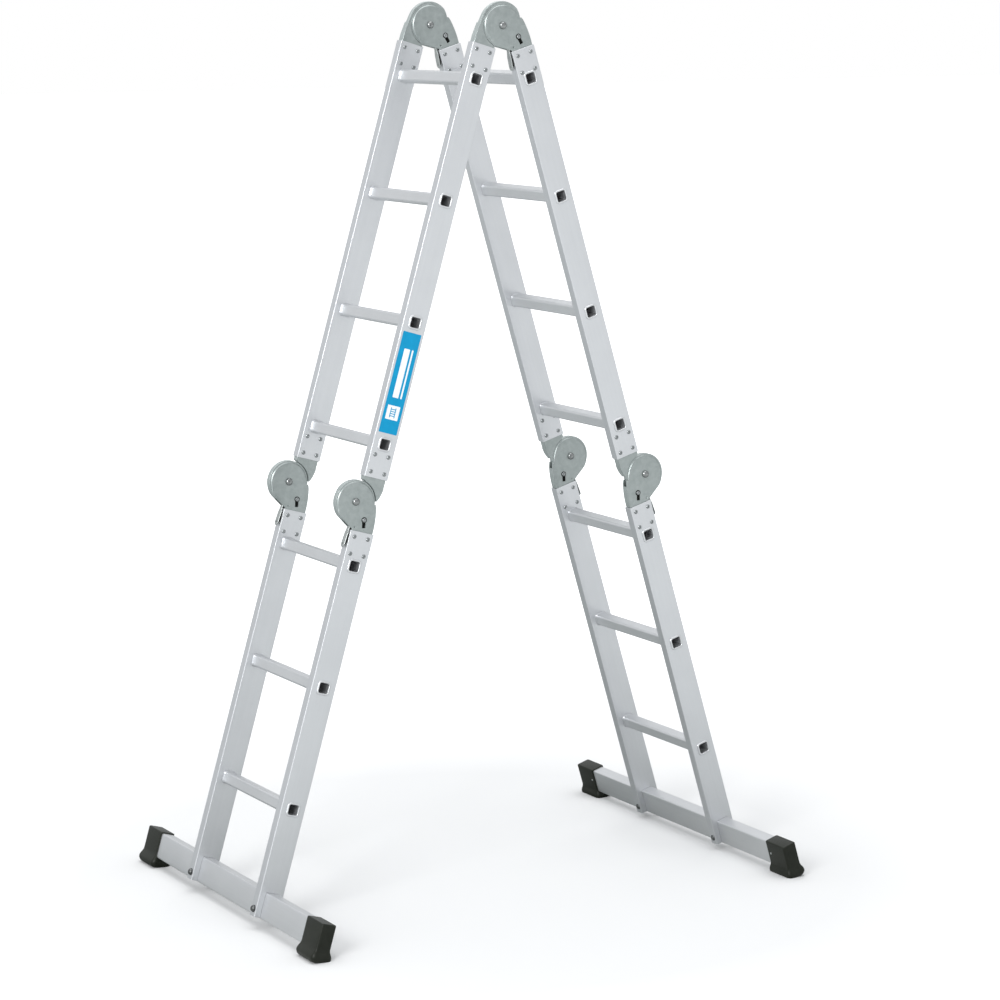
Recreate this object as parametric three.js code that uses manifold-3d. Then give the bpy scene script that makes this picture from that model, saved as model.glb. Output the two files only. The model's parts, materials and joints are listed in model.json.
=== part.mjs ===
// Multi position ladder standing as an A-frame: four sections joined by six locking hinges,
// on two stabiliser bars with rubber feet. Millimetres, +Z up, rungs along X, front leg on -Y.
import * as THREE from 'three';
import { mergeVertices } from 'three/addons/utils/BufferGeometryUtils.js';
import Module from 'manifold-3d';

const wasm = await Module();
wasm.setup();

// ---- stance
const LEAN = 16.6 * Math.PI / 180;   // each leg from the vertical
const PIVOT_HEIGHT = 1990;           // top pivot above the floor
const PIVOT_OFFSET = 34;             // pivot axis to a section's centreline, so sections fold flat
const KNEE = 1112;                   // top pivot to knee pivot along a leg
const KNEE_TONGUE = 61;              // knee pivot to the upper stile's end

// ---- stiles and rungs; "station" is the distance from the top pivot down the leg
const STILE_X = 168;                 // stile centre from the middle of the ladder
const STILE_W = 24;                  // across X
const STILE_D = 60;                  // through the leg
const STILE_R = 4;
const WALL = 2;
const GAP = 0.3;                     // clearance between touching pieces
const FRONT_TOP = 55;                // station of the front upper stile's top end
const REAR_TOP = 63;
const UPPER_END = KNEE - KNEE_TONGUE;
const LOWER_TOP = KNEE + 63;
const LOWER_END = 2063;
const RUNG_PITCH = 280;
const RUNG_1 = 133;
const RUNG_SIZE = 28;
const RUNG_SHANK = 26;               // square neck that passes through both stile walls
const RUNG_BORE = 22;
const NECK_R = 4.6;                  // corner radius of the neck

// ---- hinges, drawn in (v, w): v from the pivot towards the stile's centreline, w along the stile
const DISC_R = 49;
const TONGUE_R = 48.5;
const SHOULDER_R = 50.2;             // concave shoulder of the tongue's arm, round the cheeks' discs
const HOOD_R = 54;                   // the top tongues stand proud of the cheeks over part of a turn
const HOOD_ARC = [20, -132];         // degrees from v
const CHEEK_IN = 6.2;                // cheek plates lie between these distances from the hinge's middle
const CHEEK_OUT = 9.5;
const TONGUE_HALF = 5.9;
const PLATE_END = 118;               // how far the fork's plates reach into the stile
const TAIL = 61;                     // how far the tongue's plates reach into the stile
const PLATE_V = [7, 61];             // width of both inside the stile
const RIVET_Y = [-17.5, 17.5];       // across the stile's broad face
const RIVET_W = [13, 52];            // from the stile's end
const RIVET_R = 4.8;
const RIVET_ROOT = 0.5;              // how deep a head starts inside the stile's wall
const RIVET_H = 2.6;
const PIVOT_R = 6;
const BORE_R = 6.4;                  // its flats clear the rivet's corners at any angle
const PIVOT_HEAD_R = 8.5;
const PIN_V = 29;                    // lock pin, at rest
const PIN_W = 34;
const PIN_R = 3.2;
const PIN_HEAD_R = 6.2;
const SLOT_W = [30, 48];             // the slot it slides in
const POCKET_V = [23, 35];           // recess in the cheeks' inner faces for the lock's yoke
const POCKET_W = [28.5, 67.5];
const YOKE_V = [24.5, 33.5];
const YOKE_W = [30.2, 60.5];
const YOKE_X = [6.5, 7.7];
const BRIDGE_W = 54.6;               // the yoke's arms join beyond this, clear of the hood
const STEM_HALF = 5.7;
const LEVER_HALF = 8;
const LEVER_BEND = 67;
const LEVER_TIP = 105;

// ---- stabiliser bars and feet
const BAR_STATION = 2035;            // centre of the bar
const BAR_D = 30;
const BAR_H = 60;
const BAR_HALF = 458;
const BOLT_STATION = 2046.5;
const BOLT_R = 3;
const BOLT_HEAD_R = 7;
const BOLT_HEAD_H = 3;
const CAP_IN = 387;
const CAP_OUT = 462;
const CAP_WALL = 2.7;
const SOLE_STATION = 2089;

// ---- label on the side of the front right stile
const LABEL_W = 48;
const LABEL_H = 232;
const LABEL_T = 0.5;
const LABEL_STATION = 832;

const ALU = { color: 0xc3c8cc, roughness: 0.38, metalness: 0.9 };
const BARE = { color: 0xc9cdd0, roughness: 0.34, metalness: 0.9 };
const ZINC = { color: 0xa3abaa, roughness: 0.42, metalness: 0.85 };
const STEEL = { color: 0xd4d6d8, roughness: 0.25, metalness: 1.0 };
const RUBBER = { color: 0x2e302a, roughness: 0.75, metalness: 0.0 };
const BLUE = { color: 0x12a0d8, roughness: 0.45, metalness: 0.0 };

// ---- geometry helpers
function solid(geometry) {
  geometry.deleteAttribute('normal');
  geometry.deleteAttribute('uv');
  const g = mergeVertices(geometry, 1e-4);
  return new wasm.Manifold(new wasm.Mesh({
    numProp: 3,
    vertProperties: new Float32Array(g.attributes.position.array),
    triVerts: new Uint32Array(g.index.array),
  }));
}

function meshOf(manifold, name, look) {
  const m = manifold.getMesh();
  const g = new THREE.BufferGeometry();
  g.setAttribute('position', new THREE.BufferAttribute(new Float32Array(m.vertProperties), 3));
  g.setIndex(new THREE.BufferAttribute(new Uint32Array(m.triVerts), 1));
  g.computeVertexNormals();
  const mesh = new THREE.Mesh(g, new THREE.MeshStandardMaterial(look));
  mesh.name = name;
  return mesh;
}

const union = (list) => list.reduce((a, b) => a.add(b));
const cut = (body, list) => list.reduce((a, b) => a.subtract(b), body);

function roundedRect(width, height, radius, cx = 0, cy = 0, steps = 3) {
  const points = [];
  const corners = [[1, 1, 0], [-1, 1, 1], [-1, -1, 2], [1, -1, 3]];
  for (const [sx, sy, quarter] of corners) {
    for (let i = 0; i <= steps; i += 1) {
      const a = (quarter + i / steps) * Math.PI / 2;
      points.push([
        cx + sx * (width / 2 - radius) + radius * Math.cos(a),
        cy + sy * (height / 2 - radius) + radius * Math.sin(a),
      ]);
    }
  }
  return points;
}

function circle(radius, steps, cx = 0, cy = 0) {
  return Array.from({ length: steps }, (_, i) => {
    const a = (i + 0.5) / steps * Math.PI * 2;
    return [cx + radius * Math.cos(a), cy + radius * Math.sin(a)];
  });
}

// Prism of a closed outline along `axis`; the outline's two coordinates follow it in the order x, y, z.
const ALONG = {
  x: new THREE.Matrix4().makeBasis(
    new THREE.Vector3(0, 1, 0), new THREE.Vector3(0, 0, 1), new THREE.Vector3(1, 0, 0)),
  y: new THREE.Matrix4().makeBasis(
    new THREE.Vector3(0, 0, 1), new THREE.Vector3(1, 0, 0), new THREE.Vector3(0, 1, 0)),
  z: new THREE.Matrix4(),
};

function prism(points, axis, from, to) {
  const shape = new THREE.Shape(points.map(([a, b]) => new THREE.Vector2(a, b)));
  const g = new THREE.ExtrudeGeometry(shape, { depth: to - from, bevelEnabled: false, steps: 1 });
  g.translate(0, 0, from);
  g.applyMatrix4(ALONG[axis]);
  return solid(g);
}

// Closed skin through rings of equal length, each a list of [x, y, z].
function loft(rings) {
  const n = rings[0].length;
  const position = rings.flat(2);
  const index = [];
  for (let r = 0; r < rings.length - 1; r += 1) {
    for (let i = 0; i < n; i += 1) {
      const j = (i + 1) % n;
      const a = r * n;
      const b = a + n;
      index.push(a + i, a + j, b + j, a + i, b + j, b + i);
    }
  }
  for (let i = 1; i < n - 1; i += 1) {
    const last = (rings.length - 1) * n;
    index.push(0, i + 1, i, last, last + i, last + i + 1);
  }
  const g = new THREE.BufferGeometry();
  g.setAttribute('position', new THREE.Float32BufferAttribute(position, 3));
  g.setIndex(index);
  return solid(g);
}

// ---- stiles
// Every leg piece is built in the leg's own frame: x across, y = out * offset, z = -station.
function stile(from, to, rungs, ends, slotted) {
  const outer = roundedRect(STILE_W, STILE_D, STILE_R, 0, 0, 2);
  const inner = roundedRect(STILE_W - 2 * WALL, STILE_D - 2 * WALL, 1, 0, 0, 1);
  let body = prism(outer, 'z', -to, -from).subtract(prism(inner, 'z', -to - 1, -from + 1));
  const tools = rungs.map((s) => prism(
    roundedRect(RUNG_SHANK + 2 * GAP, RUNG_SHANK + 2 * GAP, 5, 0, -s, 2), 'x', -20, 20));
  if (slotted) {
    const top = BAR_STATION - BAR_H / 2 - GAP;
    tools.push(prism(roundedRect(BAR_D + 2 * GAP, 200, 3, 0, -(top + 100)), 'x', -20, 20));
    tools.push(prism(circle(BOLT_R + GAP, 10, -BOLT_STATION, 0), 'y', -40, 40));
  }
  body = cut(body, tools);
  // Rivet heads stand on both broad faces, four at each hinged end.
  const base = STILE_W / 2 - RIVET_ROOT;
  const tip = base + RIVET_H;
  for (const [end, away] of ends) {
    for (const y of RIVET_Y) {
      for (const w of RIVET_W) {
        const ring = ([x, r]) => circle(r, 6, y, -(end + away * w)).map(([a, b]) => [x, a, b]);
        body = body.add(loft([[base, RIVET_R], [tip, RIVET_R / 2]].map(ring)));
        body = body.add(loft([[-tip, RIVET_R / 2], [-base, RIVET_R]].map(ring)));
      }
    }
  }
  return body;
}

// ---- rungs: square tube, necked through the stile, beaded outside and collared inside
function rung(s) {
  const inside = STILE_X - STILE_W / 2 - GAP;
  const outside = STILE_X + STILE_W / 2 + GAP;
  // Distance from the middle, size of the square and its corner radius, from the end inwards.
  const profile = [
    [outside + 1.4, RUNG_SHANK, NECK_R], [outside, RUNG_SHANK + 3.2, 6.4],
    [outside, RUNG_SHANK, NECK_R], [inside, RUNG_SHANK, NECK_R],
    [inside, RUNG_SIZE + 6, 9], [inside - 11, RUNG_SIZE, 6],
  ];
  const ring = ([x, size, r]) => roundedRect(size, size, r, 0, -s, 2).map(([y, z]) => [x, y, z]);
  const left = profile.map(([x, size, r]) => ring([-x, size, r]));
  const right = profile.map(ring).reverse();
  const bore = prism(roundedRect(RUNG_BORE, RUNG_BORE, 3, 0, -s, 2), 'x', -200, 200);
  return loft([...left, ...right]).subtract(bore);
}

// ---- hinge outlines in (v, w)
function arc(radius, fromDeg, toDeg, steps) {
  return Array.from({ length: steps + 1 }, (_, i) => {
    const a = (fromDeg + (toDeg - fromDeg) * i / steps) * Math.PI / 180;
    return [radius * Math.cos(a), radius * Math.sin(a)];
  });
}

// The cheek's edge runs straight off its disc; the arm is cut back along it, so folded sections clear.
const cheekOutline = [
  [PLATE_V[0], PLATE_END], [PLATE_V[0], 61], ...arc(DISC_R, 120.5, 358, 19),
  [51.8, -2.5], [55.2, 5], [59.4, 26], [61.5, 48], [PLATE_V[1], PLATE_END],
];
const armOutline = (end) => [
  [PLATE_V[0], end + 5], [PLATE_V[0], 53.4], [15.2, 48.6], ...arc(SHOULDER_R, 69, 12, 8),
  [53.6, 14.5], [57.6, 24], [60, 36], [PLATE_V[1], 48], [PLATE_V[1], end + 5],
];
const web = [[20, 20], [40, 14], [50, 30], [30, 52], [12, 52]];
const sideWeb = [[54.2, 12], [56, 12], [58.8, 26], [60.7, 48], [60.3, 112], [54.5, 112]];
const hood = [[0, 0], ...arc(HOOD_R, ...HOOD_ARC, 26)];
const leverBlade = [
  [0.9, LEVER_BEND], [-2.8, LEVER_TIP - 4], [-2.8, LEVER_TIP], [-0.6, LEVER_TIP], [3.1, LEVER_BEND],
];
const leverStem = [
  [10, BRIDGE_W], [1.2, BRIDGE_W], [0.9, 66], [-2.8, LEVER_TIP - 4], [-2.8, LEVER_TIP],
  [-0.6, LEVER_TIP], [3.3, 67], [3.3, BRIDGE_W + 2], [10, BRIDGE_W + 2],
];

// `sv` and `sw` turn (v, w) into the leg frame's (y, z) about a pivot at (py, pz).
const place = (outline, [py, pz, sv, sw]) => outline.map(([v, w]) => [py + sv * v, pz + sw * w]);
const slab = (outline, at, from, to) => prism(place(outline, at), 'x', from, to);
const both = (outline, at, from, to) => [slab(outline, at, from, to), slab(outline, at, -to, -from)];

const box = ([v0, v1], [w0, w1]) => [[v0, w0], [v1, w0], [v1, w1], [v0, w1]];
const pivotBore = (at) => slab(circle(BORE_R, 12), at, -20, 20);

// Two side plates joined by a block deep in the stile and by a web along their inner edge.
function fork(at) {
  const slot = roundedRect(2 * PIN_R + 1, SLOT_W[1] - SLOT_W[0], PIN_R + 0.4,
    PIN_V, (SLOT_W[0] + SLOT_W[1]) / 2, 2);
  const spacer = slab(box([8, 60], [96, 112]), at, -CHEEK_IN - 0.5, CHEEK_IN + 0.5);
  const edge = slab(sideWeb, at, -CHEEK_IN - 0.5, CHEEK_IN + 0.5);
  const tools = [...both(box(POCKET_V, POCKET_W), at, 0, 8), slab(slot, at, -20, 20), pivotBore(at)];
  return union([cut(union(both(cheekOutline, at, CHEEK_IN, CHEEK_OUT)), tools), spacer, edge]);
}

// A disc between the cheeks, and an arm of full thickness that goes into the other stile.
function tongue(at, end, extra = []) {
  const parts = [
    slab(circle(TONGUE_R, 30), at, -TONGUE_HALF, TONGUE_HALF),
    slab(armOutline(end), at, -CHEEK_OUT, CHEEK_OUT),
    ...[web, ...extra].map((outline) => slab(outline, at, -TONGUE_HALF, TONGUE_HALF)),
    ...both(box(PLATE_V, [end, end + TAIL]), at, CHEEK_IN, CHEEK_OUT),
    slab(box([8, 60], [end + 35, end + 51]), at, -CHEEK_IN - 0.5, CHEEK_IN + 0.5),
  ];
  return union(parts).subtract(pivotBore(at));
}

function pivotRivet([y, z]) {
  const face = CHEEK_OUT + GAP;
  const rings = [[-face - 3.4, 4.5], [-face, PIVOT_HEAD_R], [-face, PIVOT_R],
    [face, PIVOT_R], [face, PIVOT_HEAD_R], [face + 3.4, 4.5]];
  return loft(rings.map(([x, r]) => circle(r, 12, y, z).map(([a, b]) => [x, a, b])));
}

// Lever outside the leg, stem and bridge between the plates, yoke in the pockets, pin heads outside.
function lock(at) {
  const face = CHEEK_OUT + GAP;
  const bridge = [BRIDGE_W, YOKE_W[1]];
  return union([
    slab(box([8, YOKE_V[1]], bridge), at, -STEM_HALF, STEM_HALF),
    slab(box(YOKE_V, bridge), at, -YOKE_X[1], YOKE_X[1]),
    ...both(box(YOKE_V, YOKE_W), at, ...YOKE_X),
    slab(leverStem, at, -STEM_HALF, STEM_HALF),
    slab(leverBlade, at, -LEVER_HALF, LEVER_HALF),
    ...both(circle(PIN_R, 8, PIN_V, PIN_W), at, YOKE_X[0], face + 0.5),
    ...both(circle(PIN_HEAD_R, 10, PIN_V, PIN_W), at, face, face + 1.8),
  ]);
}

// ---- stabiliser bars, bolts and feet
function bar() {
  const outer = roundedRect(BAR_D, BAR_H, 3, 0, -BAR_STATION, 2);
  const inner = roundedRect(BAR_D - 4, BAR_H - 4, 1.2, 0, -BAR_STATION, 1);
  const holes = [-STILE_X, STILE_X].map((x) =>
    prism(circle(BOLT_R + GAP, 10, -BOLT_STATION, x), 'y', -40, 40));
  return cut(prism(outer, 'x', -BAR_HALF, BAR_HALF), [prism(inner, 'x', -500, 500), ...holes]);
}

function bolt() {
  const face = STILE_D / 2 + GAP;
  const ring = ([y, r]) => circle(r, 10, 0, -BOLT_STATION).map(([a, b]) => [a, y, b]).reverse();
  return loft([[-face - BOLT_HEAD_H, 4], [-face, BOLT_HEAD_R], [-face, BOLT_R],
    [face, BOLT_R], [face, BOLT_HEAD_R], [face + BOLT_HEAD_H, 4]].map(ring));
}

function foot(side, out) {
  const sleeveTop = BAR_STATION - BAR_H / 2 - GAP - CAP_WALL;
  const middle = (CAP_IN + CAP_OUT) / 2;
  const length = CAP_OUT - CAP_IN;
  const width = BAR_D + 2 * (GAP + CAP_WALL);
  // Station, length, width and corner radius, from the top plate down to the sole.
  const layers = [
    [sleeveTop, length - 3, width - 3, 3], [sleeveTop + 1.5, length, width, 4.5],
    [2058, length, width, 4.5], [2064, length + 3, width + 4, 6], [2070, length + 9, width + 12, 9],
    [2077, length + 11, width + 15, 10], [2084, length + 7, width + 10, 10],
    [SOLE_STATION, length - 3, width - 2, 8],
  ];
  const rings = layers.map(([s, a, b, r]) => roundedRect(a, b, r, side * middle, 0, 2)
    .map(([x, y]) => [x, y, -s])).reverse();
  const pocket = prism(roundedRect(BAR_D + 2 * GAP, BAR_H + 2 * GAP, 3, 0, -BAR_STATION, 2), 'x',
    side > 0 ? CAP_IN - 20 : -(BAR_HALF + GAP), side > 0 ? BAR_HALF + GAP : -CAP_IN + 20);
  // The sole is flattened where the leaning leg meets the floor.
  const reach = 80;
  const sole = (u) => -(PIVOT_HEIGHT + u * Math.sin(LEAN)) / Math.cos(LEAN);
  const below = prism([
    [out * -reach, sole(PIVOT_OFFSET - reach)], [out * reach, sole(PIVOT_OFFSET + reach)],
    [out * reach, -LOWER_END - 200], [out * -reach, -LOWER_END - 200]], 'x', -600, 600);
  return cut(loft(rings), [pocket, below]);
}

// ---- assembly
const object = new THREE.Group();
object.name = 'multi_position_ladder';

function leg(name, out) {
  const frame = new THREE.Group();
  frame.name = `${name}_leg`;
  frame.position.z = PIVOT_HEIGHT;
  frame.rotation.x = out * LEAN;
  const centre = new THREE.Group();
  centre.position.y = out * PIVOT_OFFSET;
  frame.add(centre);

  const add = (body, id, look, x = 0) => {
    const mesh = meshOf(body, id, look);
    mesh.position.x = x;
    centre.add(mesh);
  };
  const sides = [['left', -1], ['right', 1]];
  const top = name === 'front' ? FRONT_TOP : REAR_TOP;
  const upperRungs = [0, 1, 2, 3].map((i) => RUNG_1 + RUNG_PITCH * i);
  const lowerRungs = [4, 5, 6].map((i) => RUNG_1 + RUNG_PITCH * i);
  const upper = stile(top, UPPER_END, upperRungs, [[top, 1], [UPPER_END, -1]], false);
  const lower = stile(LOWER_TOP, LOWER_END, lowerRungs, [[LOWER_TOP, 1]], true);

  // Places of the hinge outlines in this leg: the top pivot lies inside the leg, the knee outside.
  const topAt = [out * -PIVOT_OFFSET, 0, out, -1];
  const kneeDown = [out * PIVOT_OFFSET, -KNEE, -out, -1];
  const kneeUp = [out * PIVOT_OFFSET, -KNEE, -out, 1];

  for (const [side, sx] of sides) {
    const x = sx * STILE_X;
    add(upper, `${name}_upper_${side}_stile`, ALU, x);
    add(lower, `${name}_lower_${side}_stile`, ALU, x);
    if (name === 'front') {
      add(tongue(topAt, FRONT_TOP, [hood]), `top_${side}_hinge_tongue`, ZINC, x);
    } else {
      add(fork(topAt), `top_${side}_hinge_fork`, ZINC, x);
      add(pivotRivet([out * -PIVOT_OFFSET, 0]), `top_${side}_pivot_rivet`, STEEL, x);
      add(lock(topAt), `top_${side}_lock_lever`, STEEL, x);
    }
    add(tongue(kneeUp, KNEE_TONGUE), `${name}_knee_${side}_tongue`, ZINC, x);
    add(fork(kneeDown), `${name}_knee_${side}_fork`, ZINC, x);
    add(pivotRivet([out * PIVOT_OFFSET, -KNEE]), `${name}_knee_${side}_pivot_rivet`, STEEL, x);
    add(lock(kneeDown), `${name}_knee_${side}_lock_lever`, STEEL, x);
    add(bolt(), `${name}_${side}_bar_bolt`, STEEL, x);
    add(foot(sx, out), `${name}_${side}_foot`, RUBBER);
  }
  upperRungs.forEach((s, i) => add(rung(s), `${name}_upper_rung_${i + 1}`, BARE));
  lowerRungs.forEach((s, i) => add(rung(s), `${name}_lower_rung_${i + 1}`, BARE));
  add(bar(), `${name}_stabiliser_bar`, ALU);
  if (name === 'front') {
    const face = STILE_X + STILE_W / 2 + GAP;
    const outline = roundedRect(LABEL_W, LABEL_H, 2, 0, -LABEL_STATION, 1);
    add(prism(outline, 'x', face, face + LABEL_T), 'side_label', BLUE);
  }
  object.add(frame);
}

leg('front', -1);
leg('rear', 1);

export default object;
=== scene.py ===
"""Looks of a multi position ladder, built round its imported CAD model.

Every prototype is drawn in millimetres in one of two frames and then placed in the row frame:
a leg frame (x across, y = out * offset from the leg's centreline, z = -station down the leg)
or a hinge frame (x across, v from the pivot towards the stile's centreline, w along the stile).
"""
import json
import math

import bmesh
import bpy
from mathutils import Matrix, Vector


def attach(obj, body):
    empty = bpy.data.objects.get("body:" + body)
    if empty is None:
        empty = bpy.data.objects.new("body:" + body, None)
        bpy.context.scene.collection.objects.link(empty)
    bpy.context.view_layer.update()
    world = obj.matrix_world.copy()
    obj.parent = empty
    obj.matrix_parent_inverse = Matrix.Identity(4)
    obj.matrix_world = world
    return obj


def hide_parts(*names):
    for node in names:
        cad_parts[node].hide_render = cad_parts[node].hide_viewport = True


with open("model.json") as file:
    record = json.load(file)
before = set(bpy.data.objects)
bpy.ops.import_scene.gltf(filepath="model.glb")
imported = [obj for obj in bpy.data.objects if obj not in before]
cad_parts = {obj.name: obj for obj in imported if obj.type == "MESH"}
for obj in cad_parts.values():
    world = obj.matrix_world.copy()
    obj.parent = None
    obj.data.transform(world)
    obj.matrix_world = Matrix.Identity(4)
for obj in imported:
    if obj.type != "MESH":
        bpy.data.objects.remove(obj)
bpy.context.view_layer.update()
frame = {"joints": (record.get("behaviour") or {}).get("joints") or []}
joints = {j["name"]: j for j in frame["joints"]}

# ---- dimensions, millimetres
STILE_X, STILE_W, STILE_D, STILE_R, WALL = 168, 24, 60, 1.7, 2
FRONT_TOP, REAR_TOP = 55, 63
UPPER_END, LOWER_TOP, LOWER_END = 1051, 1175, 2063
RUNG_1, RUNG_PITCH = 133, 280
RUNG_SIZE, RUNG_SHANK, RUNG_BORE = 28, 26, 22
BAR_STATION, BAR_D, BAR_H, BAR_HALF = 2035, 30, 60, 458
BOLT_STATION = 2046.5
CAP_IN, CAP_OUT, CAP_WALL, SOLE_STATION = 387, 462, 2.7, 2089
DISC_R, RIM_R, SHOULDER_R, TONGUE_R, HOOD_R = 48.8, 41.8, 50.5, 48.3, 54
CHEEK_IN, CHEEK_OUT = 6.2, 9.5
PLATE_END, TAIL, KNEE_TONGUE = 118, 61, 61
PIVOT_BORE, BOLT_BORE = 6.4, 3.3                  # radii
PIN_V, PIN_W, SLOT_V, SLOT_W = 31.6, 35.6, 32.6, 42.2
RIVET_Y, RIVET_W = (-17.5, 17.5), (13, 52)        # across the stile, and along it from its end
LEVER_TIP = 105
LABEL_W, LABEL_H, LABEL_STATION = 47, 231, 832
GAP = 0.3
THROUGH = 20                                      # half length of a cutter right through a stile
MM = 0.001

# ---- frames of the two legs
pivot = Vector(joints["top_fold"]["pos_m"])
LEGS = {"front": -1, "rear": 1}


def lean_of(name, out):
    axis = joints[f"{name}_knee_right_lock_release"]["axis"]
    return out * math.atan2(axis[1] * out, -axis[2])


def leg_frame(name):
    out = LEGS[name]
    turn = Matrix.Rotation(lean_of(name, out), 4, "X")
    line = Matrix.Translation(pivot) @ turn @ Matrix.Scale(MM, 4)
    knee = line.inverted() @ Vector(joints[f"{name}_knee_fold"]["pos_m"])
    centre = line @ Matrix.Translation((0, knee.y / 2, 0))
    return centre, knee.y / 2, -knee.z


FRAMES = {name: leg_frame(name) for name in LEGS}


def hinge_frame(name, where, side):
    """Matrix from a hinge's (x, v, w) to the row frame."""
    centre, offset, knee = FRAMES[name]
    out = LEGS[name]
    along_v = out if where == "top" else -out
    pivot_y = -offset if where == "top" else offset
    pivot_z = 0 if where == "top" else -knee
    along_w = 1 if where == "knee_up" else -1
    return centre @ Matrix((
        (1, 0, 0, side * STILE_X), (0, along_v, 0, pivot_y), (0, 0, along_w, pivot_z), (0, 0, 0, 1)))


# ---- node helpers
def new_material(name):
    m = bpy.data.materials.new(name)
    m.use_nodes = True
    return m, m.node_tree.nodes, m.node_tree.links, m.node_tree.nodes["Principled BSDF"]


def coords(nodes, links, lean, stretch):
    """Object coordinates turned into a leg's frame, then scaled."""
    where = nodes.new("ShaderNodeTexCoord")
    turn = nodes.new("ShaderNodeMapping")
    turn.inputs["Rotation"].default_value = (-lean, 0, 0)
    links.new(where.outputs["Object"], turn.inputs["Vector"])
    scale = nodes.new("ShaderNodeVectorMath")
    scale.operation = "MULTIPLY"
    scale.inputs[1].default_value = stretch
    links.new(turn.outputs[0], scale.inputs[0])
    return scale.outputs[0]


def noise(nodes, links, vector, scale, detail=3.0, rough=0.55, distortion=0.0):
    n = nodes.new("ShaderNodeTexNoise")
    n.inputs["Scale"].default_value = scale
    n.inputs["Detail"].default_value = detail
    n.inputs["Roughness"].default_value = rough
    n.inputs["Distortion"].default_value = distortion
    links.new(vector, n.inputs["Vector"])
    return n.outputs["Fac"]


def ramp(nodes, links, value, low, high, to_low, to_high):
    n = nodes.new("ShaderNodeMapRange")
    for key, v in zip(("From Min", "From Max", "To Min", "To Max"), (low, high, to_low, to_high)):
        n.inputs[key].default_value = v
    links.new(value, n.inputs["Value"])
    return n.outputs["Result"]


def blend(nodes, links, factor, a, b):
    """Mix of two colours; either may be a socket."""
    n = nodes.new("ShaderNodeMix")
    n.data_type = "RGBA"
    links.new(factor, n.inputs["Factor"])
    for key, c in (("A", a), ("B", b)):
        socket = [s for s in n.inputs if s.name == key and s.type == "RGBA"][0]
        if isinstance(c, bpy.types.NodeSocket):
            links.new(c, socket)
        else:
            socket.default_value = (*c, 1)
    return [s for s in n.outputs if s.type == "RGBA"][0]


def add(nodes, links, *values):
    total = values[0]
    for v in values[1:]:
        n = nodes.new("ShaderNodeMath")
        n.operation = "ADD"
        links.new(total, n.inputs[0])
        links.new(v, n.inputs[1])
        total = n.outputs[0]
    return total


def measure(nodes, links, vector, direction=None):
    """Length of a vector, or how far it reaches along a direction."""
    n = nodes.new("ShaderNodeVectorMath")
    n.operation = "LENGTH" if direction is None else "DOT_PRODUCT"
    if direction is not None:
        n.inputs[1].default_value = direction
    links.new(vector, n.inputs[0])
    return n.outputs["Value"]


def bump(nodes, links, bsdf, height, distance):
    n = nodes.new("ShaderNodeBump")
    n.inputs["Strength"].default_value = 1.0
    n.inputs["Distance"].default_value = distance
    links.new(height, n.inputs["Height"])
    links.new(n.outputs["Normal"], bsdf.inputs["Normal"])


# ---- materials
def aluminium(name, lean, along, colours, rough, metallic):
    """Extruded, satin anodised: fine draw lines along the profile, faint clouds, sparse scuffs."""
    m, nodes, links, bsdf = new_material(name)
    line_scale = tuple(1.0 if i == along else 45.0 for i in range(3))
    lines = coords(nodes, links, lean, line_scale)
    still = coords(nodes, links, lean, (1.0, 1.0, 1.0))
    grain = noise(nodes, links, lines, 22.0, 4.0, 0.7)
    broad = noise(nodes, links, lines, 3.2, 2.0)
    cloud = noise(nodes, links, still, 9.0, 3.0, 0.6)
    speck = noise(nodes, links, still, 420.0, 2.0, 0.6)
    scuff = noise(nodes, links, coords(nodes, links, lean, (60.0, 14.0, 9.0)), 5.0, 5.0, 0.75, 1.2)
    tone = add(nodes, links, ramp(nodes, links, grain, 0.3, 0.7, 0.0, 0.34),
               ramp(nodes, links, broad, 0.3, 0.7, 0.0, 0.22),
               ramp(nodes, links, cloud, 0.3, 0.7, 0.0, 0.44))
    colour = blend(nodes, links, tone, colours[0], colours[1])
    marks = ramp(nodes, links, scuff, 0.68, 0.80, 0.0, 0.45)
    links.new(blend(nodes, links, marks, colour, colours[2]), bsdf.inputs["Base Color"])
    links.new(add(nodes, links, ramp(nodes, links, grain, 0.25, 0.75, rough - 0.05, rough + 0.05),
                  ramp(nodes, links, speck, 0.3, 0.7, -0.02, 0.03),
                  ramp(nodes, links, scuff, 0.64, 0.8, 0.0, 0.12)), bsdf.inputs["Roughness"])
    bsdf.inputs["Metallic"].default_value = metallic
    bump(nodes, links, bsdf, add(nodes, links, ramp(nodes, links, grain, 0.0, 1.0, 0.0, 1.0),
                                 ramp(nodes, links, speck, 0.0, 1.0, 0.0, 0.35)), 0.00005)
    return m


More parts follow.
